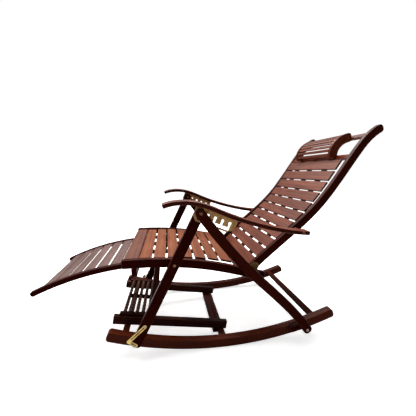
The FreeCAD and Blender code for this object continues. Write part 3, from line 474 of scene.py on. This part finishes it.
dress(["seat_nose_slat"], bamboo("nose_bamboo", "cross", NOSE, 0.3, END_GRAIN_AND_SHADE, sheen=0.3))
dress(["back_slats"], bamboo("back_slat_bamboo", "cross", BACK, 0.36, END_GRAIN_AND_SHADE, sheen=0.2, rim_shade=0.8))
dress(["pillow_slats"], bamboo("pillow_slat_bamboo", "cross", BACK, 0.36, END_GRAIN_AND_SHADE, rim_shade=0.6))
dress(["footrest_slats"], bamboo("footrest_slat_bamboo", "cross", FOOT, 0.3, END_GRAIN_AND_SHADE, sheen=0.4, rim_shade=0.9))
dress([name for name in NODES if name.startswith("massage_roller_")],
      bamboo("roller_bamboo", "cross", ROLLER, 0.22, END_GRAIN_AND_SHADE))

brass = metal("brass_sheet", tone(176, 134, 84), tone(124, 92, 52), 0.34, SHEET_SCRATCHES)
# The hinge plates' brass is darker: painted shade between the back rails and the legs.
shaded_hinge_brass = metal("shaded_hinge_brass", tone(112, 90, 50), tone(72, 54, 30), 0.4, SHEET_SCRATCHES)
latch_brass = metal("latch_brass", tone(228, 202, 130), tone(168, 136, 74), 0.3, SHEET_SCRATCHES)
steel = metal("plated_steel", tone(206, 188, 172), tone(146, 128, 114), 0.34, BOLT_SCRATCHES)
bronze = metal("dark_bolts", tone(120, 84, 60), tone(70, 46, 34), 0.34, BOLT_SCRATCHES)
dress(pair("notch_plate"), brass)
dress(["back_hinge_plates"], shaded_hinge_brass)
dress(pair("foot_latch"), latch_brass)
dress(["latch_studs", "roller_axles"], steel)
dress(["seat_pivot_washers"], bronze)


# Bolts and screws

MM = 0.001
SHARP_ANGLE = math.radians(32)
BOLT_SIDES = 36
SCREW_SIDES = 20
# Half width of a slot as a share of its half length, and the least divisor.
SLOT_SHARE = 0.2
TINY = 1e-6


def ring_radius(shape, radius, angle):
    """Distance from the axis to a round, six-sided or slot-shaped ring at an angle."""
    if shape == "hex":
        return radius / math.cos(angle % (math.pi / 3) - math.pi / 6)
    if shape == "slot":
        to_end = radius / max(abs(math.cos(angle)), TINY)
        to_side = radius * SLOT_SHARE / max(abs(math.sin(angle)), TINY)
        return min(to_end, to_side)
    return radius


def turned(name, spots, rings, count):
    """Closed pieces built from rings along an axis, with count points in each ring. A spot is
    a start in metres and an axis. A ring is a distance along the axis and a radius, in
    millimetres, and a shape."""
    points = []
    faces = []
    for start, axis in spots:
        axis = Vector(axis).normalized()
        first = Vector((1, 0, 0)) - axis * axis.x
        first.normalize()
        second = axis.cross(first)
        base = len(points)
        for distance, radius, shape in rings:
            for index in range(count):
                angle = 2 * math.pi * index / count
                reach = ring_radius(shape, radius, angle) * MM
                points.append(Vector(start) + axis * distance * MM
                              + first * math.cos(angle) * reach + second * math.sin(angle) * reach)
        for row in range(len(rings) - 1):
            for index in range(count):
                after = (index + 1) % count
                low_row, high_row = base + row * count, base + (row + 1) * count
                faces.append((low_row + index, low_row + after, high_row + after, high_row + index))
        last_row = base + (len(rings) - 1) * count
        faces.append(tuple(base + index for index in reversed(range(count))))
        faces.append(tuple(last_row + index for index in range(count)))
    mesh = bpy.data.meshes.new(name)
    mesh.from_pydata(points, [], faces)
    mesh.update()
    for polygon in mesh.polygons:
        polygon.use_smooth = True
    mesh.set_sharp_from_angle(angle=SHARP_ANGLE)
    piece = bpy.data.objects.new(name, mesh)
    bpy.context.scene.collection.objects.link(piece)
    return piece


# Radii and thicknesses of the bolts in millimetres. A nut's radius is that of the
# circle inside its six flats.
SHANK = 4.5
HEAD = 6.6
HIGH_HEAD = 3.0
LOW_HEAD = 1.6
NUT = 5.8
NUT_THICK = 3.0
THIN_NUT = 1.3
NUT_BEVEL = 0.5
NUT_FACE_SHARE = 0.96
NUT_BORE = 2.6
TIP_BEVEL = 0.4
TIP_SHARE = 0.9
SCREW_SHANK = 2.25
SCREW_HEAD = 4.5
SCREW_HEAD_THICK = 1.0
SCREW_POINT = 1.2
SCREW_POINT_LENGTH = 2.8
# A domed head and its recess as shares of the head's thickness and radius.
DOME = ((0.0, 1.0), (0.3, 1.0), (0.68, 0.92), (0.93, 0.74), (1.0, 0.56))
RECESS = ((1.0, 0.44), (0.35, 0.4))
# Rings of the sleeve between the back rail and the armrest, in millimetres.
SLEEVE = [(256.3, 7.4, "round"), (257.0, 8.0, "round"), (279.3, 8.0, "round"), (279.9, 7.4, "round")]


def shank(start, end, radius=SHANK):
    """Rings of a plain round length."""
    return [(start, radius, "round"), (end, radius, "round")]


def domed_head(face, thick, radius, recess="hex"):
    """Rings of a low domed head with a recess, from its seat outwards."""
    dome = [(face + thick * rise, radius * reach, "round") for rise, reach in DOME]
    return dome + [(face + thick * rise, radius * reach, recess) for rise, reach in RECESS]


def hex_nut(low_face, high_face):
    """Rings of a nut that sits on its high face. Its low face is chamfered."""
    return [(low_face, NUT_BORE, "round"), (low_face, NUT * NUT_FACE_SHARE, "round"),
            (low_face + NUT_BEVEL, NUT, "hex"), (high_face, NUT, "hex")]


def headed(inner, outer, head_thick):
    """Rings of a bolt with a domed head at its outer end."""
    face = outer - head_thick
    return shank(inner, face) + domed_head(face, head_thick, HEAD)


def nutted(inner, outer, nut_thick):
    """Rings of a bolt with a nut at its inner end."""
    face = inner + nut_thick
    return hex_nut(inner, face) + shank(face, outer)


def foot_bolt(inner, outer):
    """Rings of a headed bolt with a bevelled tip."""
    return [(inner, SHANK * TIP_SHARE, "round")] + headed(inner + TIP_BEVEL, outer, HIGH_HEAD)


def arm_bolt(inner, outer):
    """Rings of a bolt with a nut, a sleeve and a head."""
    sleeve_start, sleeve_end = SLEEVE[0][0], SLEEVE[-1][0]
    return nutted(inner, sleeve_start, NUT_THICK) + SLEEVE + headed(sleeve_end, outer, HIGH_HEAD)


def latch_screw(inner, outer):
    """Rings of a pointed screw with a slotted head."""
    face = outer - SCREW_HEAD_THICK
    return ([(inner, SCREW_POINT, "round")] + shank(inner + SCREW_POINT_LENGTH, face, SCREW_SHANK)
            + domed_head(face, SCREW_HEAD_THICK, SCREW_HEAD, "slot"))


def ends(node):
    """Distances of a bolt node's inner and outer end from the middle plane, in millimetres."""
    sides = [abs(vertex.co.y) for vertex in NODES[node].data.vertices]
    return min(sides) / MM, max(sides) / MM


def across_chair(node):
    """Both sides' axes of a bolt node, which run outwards from the middle plane."""
    low_corner, high_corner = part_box(node)
    middle = Vector(((low_corner[0] + high_corner[0]) / 2, 0, (low_corner[2] + high_corner[2]) / 2))
    return [(middle, (0, 1, 0)), (middle, (0, -1, 0))]


def bolt(node, body, material, rings_between, *sizes):
    """Replaces a bolt node with rings between its own two ends."""
    rings = rings_between(*ends(node), *sizes)
    piece = turned(node + "_turned", across_chair(node), rings, BOLT_SIDES)
    piece.data.materials.append(material)
    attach(piece, body)
    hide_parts(node)


bolt("rear_foot_bolts", "base", steel, foot_bolt)
bolt("top_pivot_bolts", "rear_legs", bronze, headed, LOW_HEAD)
bolt("top_pivot_nuts", "front_legs", bronze, nutted, THIN_NUT)
bolt("seat_pivot_bolts", "seat", bronze, headed, LOW_HEAD)
bolt("back_pivot_bolts", "seat", bronze, nutted, NUT_THICK)
bolt("arm_pivot_bolts", "arm_pivots", bronze, arm_bolt)
bolt("latch_screws", "front_legs", steel, latch_screw)


# Slats

def islands(mesh):
    """Vertex places of each separate solid in a mesh, in the order of their X."""
    work = bmesh.new()
    work.from_mesh(mesh)
    waiting = set(work.verts)
    found = []
    while waiting:
        seed = waiting.pop()
        reached, edge_of_search = [seed], [seed]
        while edge_of_search:
            vertex = edge_of_search.pop()
            for edge in vertex.link_edges:
                other = edge.other_vert(vertex)
                if other in waiting:
                    waiting.remove(other)
                    reached.append(other)
                    edge_of_search.append(other)
        found.append([vertex.co.copy() for vertex in reached])
    work.free()
    return sorted(found, key=lambda places: sum(place.x for place in places) / len(places))


def slat_frame(places):
    """Middle of a slat and the direction that its top faces."""
    low_x, high_x = min(place.x for place in places), max(place.x for place in places)
    low_z, high_z = min(place.z for place in places), max(place.z for place in places)
    middle = Vector(((low_x + high_x) / 2, 0, (low_z + high_z) / 2))
    slope = sum((place.x - middle.x) * (place.z - middle.z) for place in places)
    spread = sum((place.x - middle.x) ** 2 - (place.z - middle.z) ** 2 for place in places)
    lean = 0.5 * math.atan2(2 * slope, spread)
    return middle, Vector((-math.sin(lean), 0, math.cos(lean)))


# A face looks away from a direction when less than this share of its normal runs along it.
FACES_AWAY = 0.6


def paint_slat_side_shade(name, material):
    """Gives the long narrow faces of a row of slats a material of their own, with painted shade."""
    data = NODES[name].data
    data.materials.append(material)
    frames = [slat_frame(places) for places in islands(data)]
    for polygon in data.polygons:
        level = Vector((polygon.center.x, 0, polygon.center.z))
        middle, up = min(frames, key=lambda slat: (level - slat[0]).length)
        if abs(polygon.normal.dot(up)) < FACES_AWAY and abs(polygon.normal.y) < FACES_AWAY:
            polygon.material_index = 1


# The slats' long narrow sides get a darker material: painted shade between the slats.
slat_side_shade = bamboo("painted_shade_slat_side_bamboo", "cross", SLAT_SIDE_SHADE, 0.4, sheen=0.05)
for slats in ("seat_slats", "back_slats", "footrest_slats", "pillow_slats"):
    paint_slat_side_shade(slats, slat_side_shade)


# The battens' places in Y, and how deep a screw's head starts inside its batten.
BATTEN_PLACES = (-0.125, 0.0, 0.125)
SCREW_SINK = 0.001
# A ray starts below a slat's middle and looks up for the batten's underside. What it
# meets sooner than the least distance is too far below the slat to hold it.
CAST_START = 0.06
CAST_REACH = 0.055
LEAST_CAST = 0.02
# Rings of a batten screw's head, in millimetres.
SCREW_RINGS = [(0, 3.1, "round"), (1.0, 3.1, "round"), (1.3, 2.6, "round"), (1.4, 2.0, "round"),
               (1.4, 1.7, "slot"), (0.9, 1.6, "slot")]


def batten_screws(name, slats, battens, body):
    """Slotted screw heads under the battens, below each slat that a batten holds."""
    data = NODES[battens].data
    under = BVHTree.FromPolygons([vertex.co for vertex in data.vertices],
                                 [tuple(polygon.vertices) for polygon in data.polygons])
    spots = []
    for places in islands(NODES[slats].data):
        middle, up = slat_frame(places)
        for y in BATTEN_PLACES:
            start = Vector((middle.x, y, middle.z)) - up * CAST_START
            place, normal, _, distance = under.ray_cast(start, up, CAST_REACH)
            if place is not None and distance > LEAST_CAST:
                spots.append((place - normal * SCREW_SINK, normal))
    piece = turned(name, spots, SCREW_RINGS, SCREW_SIDES)
    piece.data.materials.append(bronze)
    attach(piece, body)


batten_screws("seat_batten_screws", "seat_slats", "seat_battens", "seat")
batten_screws("back_batten_screws", "back_slats", "back_battens", "back")
